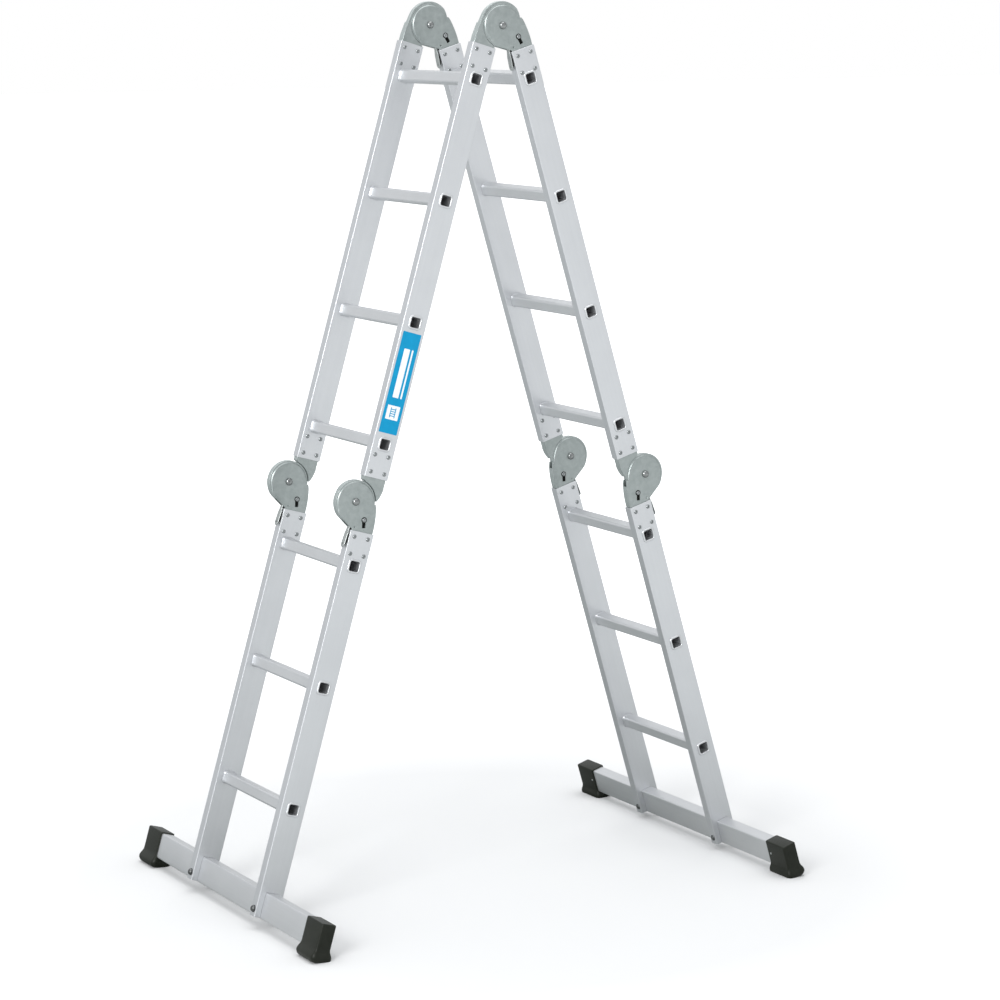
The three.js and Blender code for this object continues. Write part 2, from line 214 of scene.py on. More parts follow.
def zinc(name, base, dark, rough, metallic, fleck=150.0, painted_side_light=0.0):
    """Zinc plated sheet: spangles, soft blotches, dull marks; optionally a painted highlight that makes the
    narrow sides paler than the broad faces.
    """
    m, nodes, links, bsdf = new_material(name)
    still = coords(nodes, links, 0.0, (1.0, 1.0, 1.0))
    cell = nodes.new("ShaderNodeTexVoronoi")
    cell.inputs["Scale"].default_value = fleck
    cell.inputs["Randomness"].default_value = 1.0
    links.new(still, cell.inputs["Vector"])
    grey = nodes.new("ShaderNodeRGBToBW")
    links.new(cell.outputs["Color"], grey.inputs[0])
    blotch = noise(nodes, links, still, 55.0, 4.0, 0.6, 0.4)
    fine = noise(nodes, links, still, 700.0, 3.0, 0.6)
    scratch = noise(nodes, links, coords(nodes, links, 0.3, (10.0, 80.0, 9.0)), 9.0, 4.0, 0.8, 0.6)
    tone = add(nodes, links, ramp(nodes, links, grey.outputs[0], 0.1, 0.9, 0.0, 0.35),
               ramp(nodes, links, blotch, 0.3, 0.7, 0.0, 0.65))
    colour = blend(nodes, links, tone, dark, base)
    light = tuple(min(1.0, c * 1.35) for c in base)
    marks = ramp(nodes, links, scratch, 0.64, 0.76, 0.0, 0.5)
    colour = blend(nodes, links, marks, colour, light)
    # Painted highlight: where the object normal has little x, on the plates' narrow sides and rims, the
    # colour is lifted towards 1.5 times the base.
    if painted_side_light:
        facing = nodes.new("ShaderNodeTexCoord")
        apart = nodes.new("ShaderNodeSeparateXYZ")
        size = nodes.new("ShaderNodeMath")
        size.operation = "ABSOLUTE"
        links.new(facing.outputs["Normal"], apart.inputs[0])
        links.new(apart.outputs["X"], size.inputs[0])
        edge = ramp(nodes, links, size.outputs[0], 0.15, 0.5, painted_side_light, 0.0)
        colour = blend(nodes, links, edge, colour, tuple(min(1.0, c * 1.5) for c in base))
    links.new(colour, bsdf.inputs["Base Color"])
    links.new(add(nodes, links, ramp(nodes, links, blotch, 0.25, 0.75, rough - 0.07, rough + 0.07),
                  ramp(nodes, links, fine, 0.3, 0.7, -0.04, 0.05)), bsdf.inputs["Roughness"])
    bsdf.inputs["Metallic"].default_value = metallic
    bump(nodes, links, bsdf, add(nodes, links, ramp(nodes, links, blotch, 0.0, 1.0, 0.0, 1.0),
                                 ramp(nodes, links, fine, 0.0, 1.0, 0.0, 0.5)), 0.00016)
    return m


def rubber():
    """Moulded black foot: spark-eroded grain, faint dust, slight bloom."""
    m, nodes, links, bsdf = new_material("moulded_foot")
    still = coords(nodes, links, 0.0, (1.0, 1.0, 1.0))
    grain = noise(nodes, links, still, 1100.0, 3.0, 0.6)
    dust = noise(nodes, links, still, 38.0, 4.0, 0.65)
    links.new(blend(nodes, links, ramp(nodes, links, dust, 0.38, 0.72, 0.0, 1.0),
                    (0.007, 0.009, 0.005), (0.014, 0.016, 0.011)), bsdf.inputs["Base Color"])
    links.new(add(nodes, links, ramp(nodes, links, grain, 0.3, 0.7, 0.30, 0.42),
                  ramp(nodes, links, dust, 0.4, 0.7, 0.0, 0.08)), bsdf.inputs["Roughness"])
    bsdf.inputs["Specular IOR Level"].default_value = 0.27
    bump(nodes, links, bsdf, grain, 0.0001)
    return m


def film(name, colour, deep):
    """Printed label film: even ink with a slight mottle and fine orange peel, dull."""
    m, nodes, links, bsdf = new_material(name)
    still = coords(nodes, links, 0.0, (1.0, 1.0, 1.0))
    peel = noise(nodes, links, still, 520.0, 2.0)
    mottle = noise(nodes, links, still, 60.0, 3.0)
    links.new(blend(nodes, links, ramp(nodes, links, mottle, 0.3, 0.7, 0.0, 1.0), colour, deep),
              bsdf.inputs["Base Color"])
    links.new(ramp(nodes, links, peel, 0.3, 0.7, 0.34, 0.44), bsdf.inputs["Roughness"])
    bsdf.inputs["Specular IOR Level"].default_value = 0.2
    bump(nodes, links, bsdf, peel, 0.00004)
    return m


ANODISED = ((0.60, 0.612, 0.632), (0.665, 0.677, 0.697), (0.74, 0.75, 0.765))
BRIGHT = ((0.63, 0.64, 0.655), (0.70, 0.71, 0.725), (0.77, 0.78, 0.79))
MAT = {}
for leg_name, leg_out in LEGS.items():
    lean = lean_of(leg_name, leg_out)
    MAT[leg_name, "stile"] = aluminium(f"{leg_name}_stile_aluminium", lean, 2, ANODISED, 0.36, 0.85)
    MAT[leg_name, "cross"] = aluminium(f"{leg_name}_cross_aluminium", lean, 0, BRIGHT, 0.34, 0.85)
MAT["zinc"] = zinc("zinc_plate", (0.40, 0.435, 0.43), (0.30, 0.335, 0.33), 0.38, 0.8, painted_side_light=0.5)
MAT["lever"] = zinc("lever_plate", (0.50, 0.525, 0.515), (0.39, 0.415, 0.41), 0.36, 0.85, 220.0)
MAT["bright"] = zinc("bright_fastener", (0.35, 0.365, 0.37), (0.26, 0.275, 0.28), 0.16, 1.0, 400.0)
# Pivot heads: a darker copy of the fastener zinc, painted shade standing in for the heads' shaded lower
# side.
MAT["pivot"] = zinc("pivot_head", (0.33, 0.34, 0.34), (0.24, 0.25, 0.25), 0.18, 1.0, 400.0)
# Bar bolts: a much darker copy of the fastener zinc, painted shade of heads that sit in the stiles' shadow.
MAT["bolt"] = zinc("bolt_steel", (0.17, 0.175, 0.175), (0.11, 0.115, 0.115), 0.2, 1.0, 400.0)
# Near-black steel for the lock yoke and the lever flanges: a dark part whose near-black tone is also painted
# shade in the slots, round the pin caps and in the gap between lever and stile.
MAT["dark"] = zinc("dark_steel_and_painted_shade", (0.012, 0.013, 0.012), (0.006, 0.007, 0.006), 0.6, 0.9, 300.0)
MAT["rubber"] = rubber()
MAT["blue"] = film("label_blue", (0.002, 0.295, 0.55), (0.001, 0.265, 0.50))
MAT["white"] = film("label_white", (0.86, 0.87, 0.87), (0.80, 0.81, 0.82))


# ---- outlines
def rounded_rect(width, height, radius, steps=6):
    """Counter-clockwise outline round the origin."""
    points = []
    for quarter, (sx, sy) in enumerate(((1, 1), (-1, 1), (-1, -1), (1, -1))):
        for i in range(steps + 1):
            a = (quarter + i / steps) * math.pi / 2
            points.append((sx * (width / 2 - radius) + radius * math.cos(a),
                           sy * (height / 2 - radius) + radius * math.sin(a)))
    return points


def circle(radius, steps, cx=0.0, cy=0.0):
    return [(cx + radius * math.cos(math.tau * i / steps), cy + radius * math.sin(math.tau * i / steps))
            for i in range(steps)]


def arc(radius, start, end, steps):
    return [(radius * math.cos(math.radians(start + (end - start) * i / steps)),
             radius * math.sin(math.radians(start + (end - start) * i / steps)))
            for i in range(steps + 1)]


def smooth_outline(points, rounds=2):
    """Chaikin corner cutting of an open run of points, ends kept."""
    for _ in range(rounds):
        cut = [points[0]]
        for a, b in zip(points, points[1:]):
            cut += [(0.75 * a[0] + 0.25 * b[0], 0.75 * a[1] + 0.25 * b[1]),
                    (0.25 * a[0] + 0.75 * b[0], 0.25 * a[1] + 0.75 * b[1])]
        points = [*cut, points[-1]]
    return points


def inset(points, amount):
    """Outline moved inwards by amount (counter-clockwise input)."""
    out = []
    n = len(points)
    for i in range(n):
        a, b, c = (Vector(points[(i + k) % n]) for k in (-1, 0, 1))
        e1, e2 = (b - a).normalized(), (c - b).normalized()
        n1, n2 = Vector((-e1.y, e1.x)), Vector((-e2.y, e2.x))
        bis = (n1 + n2)
        bis = bis.normalized() if bis.length > 1e-6 else n1
        out.append(tuple(b + bis * amount / max(0.5, bis.dot(n1))))
    return out


# ---- meshes
def shell(rings, cyclic=False):
    """Vertices and faces of a skin through rings of equal length: capped, or closed on itself."""
    n = len(rings[0])
    verts = [Vector(p) for ring in rings for p in ring]
    faces = []
    count = len(rings)
    for r in range(count if cyclic else count - 1):
        a, b = r * n, ((r + 1) % count) * n
        for i in range(n):
            j = (i + 1) % n
            faces.append((a + i, a + j, b + j, b + i))
    if not cyclic:
        faces.append(tuple(range(n - 1, -1, -1)))
        faces.append(tuple((count - 1) * n + i for i in range(n)))
    return verts, faces


def merged(parts):
    verts, faces = [], []
    for v, f in parts:
        base = len(verts)
        verts += v
        faces += [tuple(i + base for i in face) for face in f]
    return verts, faces


def prism_x(outline, x0, x1, edge=0.0):
    """Prism along x of a (y, z) outline, with chamfered rims."""
    ring = lambda o, x: [(x, a, b) for a, b in o]
    if edge:
        small = inset(outline, edge)
        return shell([ring(small, x0), ring(outline, x0 + edge), ring(outline, x1 - edge), ring(small, x1)])
    return shell([ring(outline, x0), ring(outline, x1)])


def turned_x(profile, steps, cy=0.0, cz=0.0):
    """Turned solid on an axis along x through (cy, cz); the profile is (x, radius)."""
    return shell([[(x, a, b) for a, b in circle(radius, steps, cy, cz)] for x, radius in profile])


def turned_y(profile, steps, cx=0.0, cz=0.0):
    """Turned solid on an axis along y through (cx, cz); the profile is (y, radius)."""
    return shell([[(a, y, b) for a, b in circle(radius, steps, cx, cz)] for y, radius in profile])


def temp_object(data):
    verts, faces = data
    mesh = bpy.data.meshes.new("draft")
    mesh.from_pydata(verts, [], faces)
    bm = bmesh.new()
    bm.from_mesh(mesh)
    bmesh.ops.recalc_face_normals(bm, faces=bm.faces)
    bm.to_mesh(mesh)
    bm.free()
    o = bpy.data.objects.new("draft", mesh)
    bpy.context.scene.collection.objects.link(o)
    return o


def prototype(data, cutters=(), joined=(), angle=34, bevel=0.0):
    """Mesh of a shape with others joined to it and cutters taken out, its creases kept sharp."""
    body = temp_object(data)
    tools = [body]
    for operation, shapes in (("UNION", joined), ("DIFFERENCE", cutters)):
        for shape in shapes:
            tools.append(temp_object(shape))
            mod = body.modifiers.new("shape", "BOOLEAN")
            mod.operation, mod.solver, mod.object = operation, "EXACT", tools[-1]
    if bevel:
        mod = body.modifiers.new("edge", "BEVEL")
        mod.width, mod.segments, mod.limit_method = bevel, 3, "ANGLE"
        mod.angle_limit = math.radians(40)
    bpy.context.view_layer.update()
    made = bpy.data.meshes.new_from_object(body.evaluated_get(bpy.context.evaluated_depsgraph_get()))
    for o in tools:
        bpy.data.objects.remove(o)
    made.shade_smooth()
    made.set_sharp_from_angle(angle=math.radians(angle))
    return made


def piece(name, mesh, matrix, body, material, slot, *nodes):
    """A copy of a prototype, placed in the row frame, riding on a body."""
    made = mesh.copy()
    made.transform(matrix)
    if matrix.determinant() < 0:
        made.flip_normals()
    made.materials.clear()
    made.materials.append(material)
    o = bpy.data.objects.new(name, made)
    bpy.context.scene.collection.objects.link(o)
    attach(o, body)
    if nodes:
        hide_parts(*nodes)
    return o


# ---- stiles: rounded rectangular tube with necked rung holes and, at the foot, a slot for the bar
def stile_mesh(top, end, stations, slotted):
    outer = rounded_rect(STILE_W, STILE_D, STILE_R, 7)
    inner = rounded_rect(STILE_W - 2 * WALL, STILE_D - 2 * WALL, 1.2, 7)
    level = lambda o, z: [(a, b, z) for a, b in o]
    lip = 0.45
    rings = [level(inset(outer, lip), -top), level(outer, -top - lip)]
    rings += [level(outer, -end + lip), level(inset(outer, lip), -end)]
    rings += [level(inner, -end), level(inner, -top)]
    cutters = []
    for s in stations:
        hole = [(a, b - s) for a, b in rounded_rect(RUNG_SHANK + 2 * GAP, RUNG_SHANK + 2 * GAP, 5, 5)]
        cutters.append(prism_x(hole, -THROUGH, THROUGH))
    if slotted:
        roof = BAR_STATION - BAR_H / 2 - GAP
        length = 200
        slot = [(a, b - roof - length / 2) for a, b in rounded_rect(BAR_D + 2 * GAP, length, 3, 4)]
        cutters.append(prism_x(slot, -THROUGH, THROUGH))
        cutters.append(turned_y(((-STILE_D, BOLT_BORE), (STILE_D, BOLT_BORE)), 20, 0, -BOLT_STATION))
    return prototype(shell(rings, cyclic=True), cutters, angle=28)


RIVET_HEAD = [(-0.6, 4.9), (0.0, 5.0), (0.7, 4.85), (1.5, 4.3), (2.2, 3.5), (2.6, 2.6),
              (2.6, 2.1), (2.2, 1.6), (0.8, 1.4)]  # (height over the stile, radius)


def rivets_mesh(ends):
    """Domed heads on both broad faces, four at each hinged end."""
    heads = []
    for end, away in ends:
        for y in RIVET_Y:
            for w in RIVET_W:
                for sign in (-1, 1):
                    profile = [(sign * (STILE_W / 2 + height), radius) for height, radius in RIVET_HEAD]
                    heads.append(turned_x(profile, 20, y, -(end + away * w)))
    return prototype(merged(heads), angle=50)


# ---- rungs: ribbed square tube, swelling into a collar, necked through the stile and beaded outside
RIBS, RIB_DEPTH = 6, 0.42


def rung_ring(x, size, radius, ribs=0.0):
    """Square ring with rounded corners; ribs run along its four flats."""
    points = []
    flat = size - 2 * radius
    steps_flat, steps_corner = RIBS * 4, 5
    for quarter in range(4):
        turn = quarter * math.pi / 2
        c, s = math.cos(turn), math.sin(turn)
        local = []
        for i in range(steps_flat + 1):
            t = i / steps_flat
            groove = ribs * RIB_DEPTH * 0.5 * (1 - math.cos(math.tau * RIBS * t))
            local.append((size / 2 - groove, (t - 0.5) * flat))
        for i in range(1, steps_corner):
            a = i / steps_corner * math.pi / 2
            local.append((size / 2 - radius + radius * math.cos(a), flat / 2 + radius * math.sin(a)))
        points += [(x, c * p - s * q, s * p + c * q) for p, q in local]
    return points


def rung_mesh():
    inside = STILE_X - STILE_W / 2 - GAP
    outside = STILE_X + STILE_W / 2
    half = [(inside - 20, RUNG_SIZE, 6, 1.0), (inside - 12, RUNG_SIZE, 6, 0.8),
            (inside - 9, RUNG_SIZE + 0.2, 6.1, 0.3), (inside - 6.5, RUNG_SIZE + 0.6, 6.4, 0.0),
            (inside - 4, RUNG_SIZE + 1.4, 6.8, 0.0), (inside - 2, RUNG_SIZE + 2.5, 7.4, 0.0),
            (inside - 0.8, RUNG_SIZE + 3.3, 7.8, 0.0), (inside - 0.2, RUNG_SIZE + 3.5, 7.9, 0.0),
            (inside, RUNG_SIZE + 3.2, 7.8, 0.0),
            (inside, RUNG_SHANK, 4.6, 0.0), (outside + 0.15, RUNG_SHANK, 4.6, 0.0),
            (outside + 0.15, 31.4, 7.8, 0.0), (outside + 0.9, 32.0, 8.0, 0.0),
            (outside + 1.8, 31.0, 7.6, 0.0), (outside + 2.5, 29.0, 6.8, 0.0),
            (outside + 2.75, 26.8, 5.8, 0.0), (outside + 2.4, 24.8, 4.8, 0.0),
            (outside + 1.4, 23.4, 4.0, 0.0), (outside - 0.4, 22.6, 3.4, 0.0),
            (outside - 3, RUNG_BORE, 3, 0.0)]
    left = [rung_ring(-x, s, r, k) for x, s, r, k in reversed(half)]
    right = [rung_ring(x, s, r, k) for x, s, r, k in half]
    return prototype(shell([*left, *right], cyclic=True), angle=46)


# ---- hinges
def boss_share(y, z):
    """How far a rim point follows the raised boss: 0 on the straight edges, 1 round the disc."""
    turn = math.degrees(math.atan2(z, y)) % 360
    if math.hypot(y, z) >= DISC_R + 0.2 or turn <= 120:
        return 0.0
    share = min(1.0, max(0.0, (turn - 124) / 26))
    share = share * share * (3 - 2 * share)
    if turn > 334:
        return share * (1 - 0.9 * (turn - 334) / 24)
    return share * share


def cheek_rings():
    """Rings of a side plate from its inner to its outer face, with a raised round boss on the disc."""
    far = smooth_outline([(51.0, -3.2), (51.8, -2.5), (55.2, 5), (59.4, 26), (61.5, 48), (61, 70)], 2)
    base = [(7, PLATE_END), (7, 61), *arc(DISC_R, 120.5, 358, 84), *far, (61, PLATE_END)]
    rounding = 0.55
    inner = inset(base, rounding)
    flat_in = (0.0, 0.14, 0.24, 0.32, 0.40, 0.48, rounding)
    flat_x = (CHEEK_OUT - 0.6, CHEEK_OUT - 0.38, CHEEK_OUT - 0.24, CHEEK_OUT - 0.15, CHEEK_OUT - 0.08,
              CHEEK_OUT - 0.03, CHEEK_OUT)
    rim = CHEEK_OUT - 2.3
    boss_r = (DISC_R, DISC_R - 0.5, 45.4, 44.8, 44.0, 43.1, RIM_R)
    boss_x = (rim - 0.35, rim, rim + 0.1, rim + 0.6, rim + 1.65, rim + 2.15, CHEEK_OUT)
    rings = [[(CHEEK_IN, *q) for q in inset(base, 0.4)], [(CHEEK_IN + 0.4, *p) for p in base]]
    for amount, level, radius, raised in zip(flat_in, flat_x, boss_r, boss_x):
        ring = []
        for p, q in zip(base, inner):
            share = boss_share(*p)
            plain = Vector(p).lerp(Vector(q), amount / rounding)
            boss = Vector(p).normalized() * radius
            ring.append((level + (raised - level) * share, *plain.lerp(boss, share)))
        rings.append(ring)
    return rings


SIDE_WEB = [(54.2, 12), (56.2, 12), (58.9, 26), (60.8, 48), (60.4, 112), (54.5, 112)]


def fork_mesh():
    rings = cheek_rings()
    other = [[(-x, a, b) for x, a, b in ring] for ring in rings]
    bridge = CHEEK_IN + 0.5
    joined = [shell(other), prism_x([(8, 96), (60, 96), (60, 112), (8, 112)], -bridge, bridge),
              prism_x(SIDE_WEB, -bridge - 1, bridge + 1)]
    tilt = math.radians(-14)
    slot = [(SLOT_V + a * math.cos(tilt) - b * math.sin(tilt),
             SLOT_W + a * math.sin(tilt) + b * math.cos(tilt))
            for a, b in rounded_rect(8.6, 23, 1.0, 3)]
    dimples = [turned_x(((sign * 7.4, 0.9), (sign * 9.8, 2.5)), 16, 12.5, 55) for sign in (1, -1)]
    bore = prism_x(circle(PIVOT_BORE, 32), -THROUGH, THROUGH)
    cutters = [prism_x(slot, 5, 12), prism_x(slot, -12, -5), *dimples, bore]
    return prototype(shell(rings), cutters, joined, angle=30)


def arm_shell(outline):
    """Arm of the tongue, its rims rounded: widely along the stile's outer side, finely elsewhere."""
    steps = ((0.55, 1.5, 0.0), (0.22, 0.75, 0.3), (0.05, 0.22, 0.9), (0.0, 0.0, 1.6))
    levels = [(*amounts, -CHEEK_OUT + x) for *amounts, x in steps]
    levels += [(*amounts, CHEEK_OUT - x) for *amounts, x in steps[::-1]]
    rings = []
    for amount, wide, x in levels:
        ring = inset(outline, amount) if amount else outline
        rings.append([(x, a - wide if corner[0] > 60.5 else a, b) for (a, b), corner in zip(ring, outline)])
    return shell(rings)


def hood_shell():
    """The top tongues' disc stands proud of the cheeks over part of a turn, and tapers into them."""
    growth = [0.91 + 0.009 * i for i in range(10)]
    taper = [(a * k, b * k) for (a, b), k in zip(arc(HOOD_R, -151.4, -120, 10), growth)]
    outline = [(0, 0), *taper, *arc(HOOD_R, -120, -9, 74), (61, 40), (50, 44)]
    return prism_x(outline, -5.7, 5.7, 0.6)


def groove_shell(sign):
    """Cutter for the seam between a cheek's disc and the arm's shoulder."""
    profile = [(sign * x, radius) for x, radius in ((2.5, 47.6), (12, 47.6), (12, 50.4), (2.5, 50.4))]
    turns = [math.radians(14 + 62 * i / 30) for i in range(31)]
    return shell([[(x, radius * math.cos(a), radius * math.sin(a)) for x, radius in profile] for a in turns])


def tongue_mesh(end, hood):
    """Disc between the cheeks, arm of full thickness with a shoulder round them, plates in the stile."""
    if hood:
        last, right = 8.5, [(54.2, 8.6), (56.2, 10), (61, 40), (61, end)]
    else:
        side = [(50.4, 11.3), (52.8, 14.5), (56.8, 24), (59.7, 36), (61, 50), (61, end)]
        last, right = 12, smooth_outline(side, 2)
    outline = [(7, end + 5), (7, 53.4), (15.2, 48.6), *arc(SHOULDER_R, 69, last, 28), *right, (61, end + 5)]
    joined = [prism_x(circle(TONGUE_R, 120), -5.9, 5.9, 0.5),
              prism_x([(20, 20), (40, 14), (50, 30), (30, 52), (12, 52)], -5.8, 5.8)]
    if hood:
        joined.append(hood_shell())
    plate = [(61, end), (61, end + TAIL), (7, end + TAIL), (7, end)]
    spacer = [(60, end + 35), (60, end + 51), (8, end + 51), (8, end + 35)]
    joined += [prism_x(plate, CHEEK_IN, CHEEK_OUT), prism_x(plate, -CHEEK_OUT, -CHEEK_IN),
               prism_x(spacer, -CHEEK_IN - 0.5, CHEEK_IN + 0.5)]
    bore = prism_x(circle(PIVOT_BORE, 32), -THROUGH, THROUGH)
    return prototype(arm_shell(outline[::-1]), [bore, groove_shell(-1), groove_shell(1)], joined, angle=30)


def pivot_rivet_mesh():
    face = CHEEK_OUT + 0.1
    head = [(face, 7.9), (face + 1.0, 8.6), (face + 2.2, 8.5), (face + 3.6, 7.8), (face + 4.9, 6.5),
            (face + 5.9, 4.7), (face + 6.5, 2.5), (face + 6.7, 0.8)]
    rings = [(-x, r) for x, r in reversed(head)] + [(-face, 6.0), (face, 6.0)] + head
    return prototype(turned_x(rings, 32), angle=50)


def yoke_mesh():
    """Dark yoke in the cheeks' pockets, seen through their slots, with a collar under each pin's cap; its
    near-black tone is also painted shade inside the slots, and the collar paints the ring of shadow round
    each cap.
    """
    bars = [prism_x([(10, 54.7), (33.5, 54.7), (33.5, 60.4), (10, 60.4)], -5.6, 5.6),
            prism_x([(24.4, 54.7), (38.4, 54.7), (38.4, 60.4), (24.4, 60.4)], -7.6, 7.6)]
    for sign in (-1, 1):
        plate = [(24.4, 29), (37, 29), (38.4, 56), (24.4, 56)]
        bars.append(prism_x(plate, *sorted((sign * 6.5, sign * 7.55))))
        # Collar: painted shadow, a near-black ring round each pin's cap where the recessed slot lies in
        # shade.
        collar = [(6.8, 3.2), (CHEEK_OUT + 0.1, 3.2), (CHEEK_OUT + 0.1, 6.7), (CHEEK_OUT + 0.6, 6.6)]
        bars.append(turned_x([(sign * x, radius) for x, radius in collar], 24, PIN_V, PIN_W))
    return prototype(bars[0], joined=bars[1:], angle=40)


def pin_caps_mesh():
    profile = [(0.62, 5.2), (1.5, 5.1), (2.3, 4.5), (2.8, 3.4), (3.1, 1.9), (3.2, 0.6)]
    caps = [turned_x([(sign * (CHEEK_OUT + x), radius) for x, radius in profile], 24, PIN_V, PIN_W)
            for sign in (-1, 1)]
    return prototype(merged(caps), angle=50)


def stem_mesh():
    """Strip that carries the blade, from the yoke round the stile's end."""
    line = smooth_outline([(10.5, 54.7), (1.4, 54.7), (1.0, 62), (0.6, 68), (0.5, 70), (2.6, 70.2),
                           (3.0, 66), (3.2, 58.4), (4.2, 56.5), (10.5, 56.4)], 1)
    return prototype(prism_x(line[::-1], -5.6, 5.6, 0.3), angle=40)


def blade_meshes():
    """The lever's blade, a plate with a rounded tip and a hole, and its two flanges turned to the stile."""
    half, tip, root = 8.0, LEVER_TIP, 63.0
    outline = [(-5.6, root), (5.6, root), (6.4, root + 4), (half, root + 10)]
    turns = [math.pi * k / 14 for k in range(15)]
    outline += [(half * math.cos(a), tip - half + half * math.sin(a)) for a in turns]
    outline += [(-half, root + 10), (-6.4, root + 4)]
    lean = lambda w: 1.6 - (w - root) * 0.082
    skin = lambda o, dv: [(x, lean(w) + dv, w) for x, w in o]
    small = inset(outline, 0.4)
    rings = [skin(small, -0.9), skin(outline, -0.5), skin(outline, 0.6), skin(small, 1.0)]
    hole = turned_y(((-12, 2.2), (12, 2.2)), 20, 0, tip - 9)
    side = [(lean(root + 8) + 0.9, root + 8), (3.5, root + 9), (3.5, root + 23),
            (2.8, tip - 10), (lean(tip - 6) + 0.9, tip - 6)]
    flanges = [prism_x(side, *xs, 0.2) for xs in ((6.4, 7.8), (-7.8, -6.4))]
    return prototype(shell(rings), [hole], angle=36), prototype(merged(flanges), angle=36)


# ---- stabiliser bars, bolts and feet
def bar_mesh():
    outer = [(a, b - BAR_STATION) for a, b in rounded_rect(BAR_D, BAR_H, 3.2, 6)]
    inner = [(a, b - BAR_STATION) for a, b in rounded_rect(BAR_D - 4, BAR_H - 4, 1.4, 6)]
    at = lambda o, x: [(x, a, b) for a, b in o]
    rings = [at(outer, -BAR_HALF), at(outer, BAR_HALF), at(inner, BAR_HALF), at(inner, -BAR_HALF)]
    holes = [turned_y(((-STILE_D, BOLT_BORE), (STILE_D, BOLT_BORE)), 20, x, -BOLT_STATION)
             for x in (-STILE_X, STILE_X)]
    return prototype(shell(rings, cyclic=True), holes, angle=28)


def bolt_mesh():
    """Tall domed head on the leg's outer face (+y here), a low one on its inner face."""
    face = STILE_D / 2 + 0.05
    tall = [(face, 8.3), (face + 0.7, 8.4), (face + 0.9, 7.2), (face + 3.4, 7.0), (face + 5.0, 6.0),
            (face + 6.0, 4.3), (face + 6.5, 2.1), (face + 6.6, 0.7)]
    low = [(face, 7.4), (face + 0.6, 7.4), (face + 0.75, 6.2), (face + 1.5, 6.0), (face + 2.4, 5.2),
           (face + 3.0, 3.7), (face + 3.25, 1.8), (face + 3.3, 0.6)]
    rings = [(-y, r) for y, r in reversed(low)] + [(-face, 3.0), (face, 3.0)] + tall
    return prototype(turned_y(rings, 28, 0, -BOLT_STATION), angle=44)


def foot_mesh(side, out):
    """Sleeve over the bar's end with a closed top plate, running into a bulging sole."""
    top = BAR_STATION - BAR_H / 2 - GAP - CAP_WALL
    middle, length = side * (CAP_IN + CAP_OUT) / 2, CAP_OUT - CAP_IN
    width = BAR_D + 2 * (GAP + CAP_WALL)
    layers = [(top, length - 6, width - 6, 2.4), (top + 0.3, length - 3.4, width - 3.4, 3.2),
              (top + 1.1, length - 1.2, width - 1.2, 4.0), (top + 2.2, length - 0.3, width - 0.3, 4.5),
              (top + 3.4, length, width, 4.6), (2030, length, width, 4.6), (2054, length, width, 4.6),
              (2059, length + 0.4, width + 0.6, 4.9), (2062.5, length + 1.8, width + 2.6, 5.6),
              (2066, length + 4.6, width + 6.4, 7), (2069, length + 7.4, width + 10, 8.4),
              (2073, length + 10, width + 13.4, 9.6), (2077, length + 11, width + 15, 10.2),
              (2081, length + 10, width + 14, 10.4), (2085, length + 6.6, width + 9.6, 10),
              (2088, length + 2, width + 4, 9), (SOLE_STATION, length - 3, width - 2, 8)]
    rings = [[(a + middle, b, -s) for a, b in rounded_rect(w, d, r, 8)] for s, w, d, r in layers]
    edges = (CAP_IN - 20, BAR_HALF + GAP) if side > 0 else (-(BAR_HALF + GAP), -CAP_IN + 20)
    pocket = [(a, b - BAR_STATION) for a, b in rounded_rect(BAR_D + 2 * GAP, BAR_H + 2 * GAP, 3, 5)]
    lean = abs(lean_of("front", -1))
    offset = abs(FRAMES["front"][1])
    depth = lambda y: -(pivot.z / MM + (offset + out * y) * math.sin(lean)) / math.cos(lean)
    low = -LOWER_END - 200
    reach = 80
    under = [(-reach, depth(-reach)), (-reach, low), (reach, low), (reach, depth(reach))]
    ground = prism_x(under, -600, 600)
    return prototype(shell(rings), [prism_x(pocket, *edges), ground], bevel=0.7, angle=40)


def screw_mesh(side, out):
    """Small screw in the foot's inner face."""
    face = -(BAR_D / 2 + GAP + CAP_WALL)
    head = [(-0.4, 2.6), (0.0, 2.7), (0.35, 2.4), (0.7, 1.4), (0.8, 0.5)]
    x, s = side * (CAP_IN + 13), BAR_STATION - 2
    return prototype(turned_y([(out * (face - h), radius) for h, radius in head], 16, x, -s), angle=45)


# ---- label: plain blue film with a generic pictogram and stripes
def label_meshes():
    face = STILE_X + STILE_W / 2 + 0.05

    def at(outline, y, z):
        return [(a + y, b + z - LABEL_STATION) for a, b in outline]

    back = rounded_rect(LABEL_W, LABEL_H, 1.6, 4)
    blue = prototype(prism_x(at(back, 0, 0), face, face + 0.28, 0.06), angle=40)
    x0, x1 = face + 0.26, face + 0.36
    tile = prism_x(at(rounded_rect(32, 32, 1.2, 3), 0, -68), x0, x1, 0.03)
    stripe = prism_x(at(rounded_rect(15, 112, 1.5, 3), -3, 22), x0, x1, 0.03)
    thin = prism_x(at(rounded_rect(4, 112, 1.2, 3), 11.5, 22), x0, x1, 0.03)
    white = prototype(merged([tile, stripe, thin]), angle=40)
    rail, step = rounded_rect(2.2, 23, 0.6, 3), rounded_rect(9.8, 2.0, 0.5, 3)
    rails = [prism_x(at(rail, y, -68), x1, x1 + 0.08, 0.02) for y in (-6, 6)]
    steps = [prism_x(at(step, 0, -68 + z), x1, x1 + 0.08, 0.02) for z in (-7.5, -2.5, 2.5, 7.5)]
    mark = prototype(merged(rails + steps), angle=40)
    return blue, white, mark


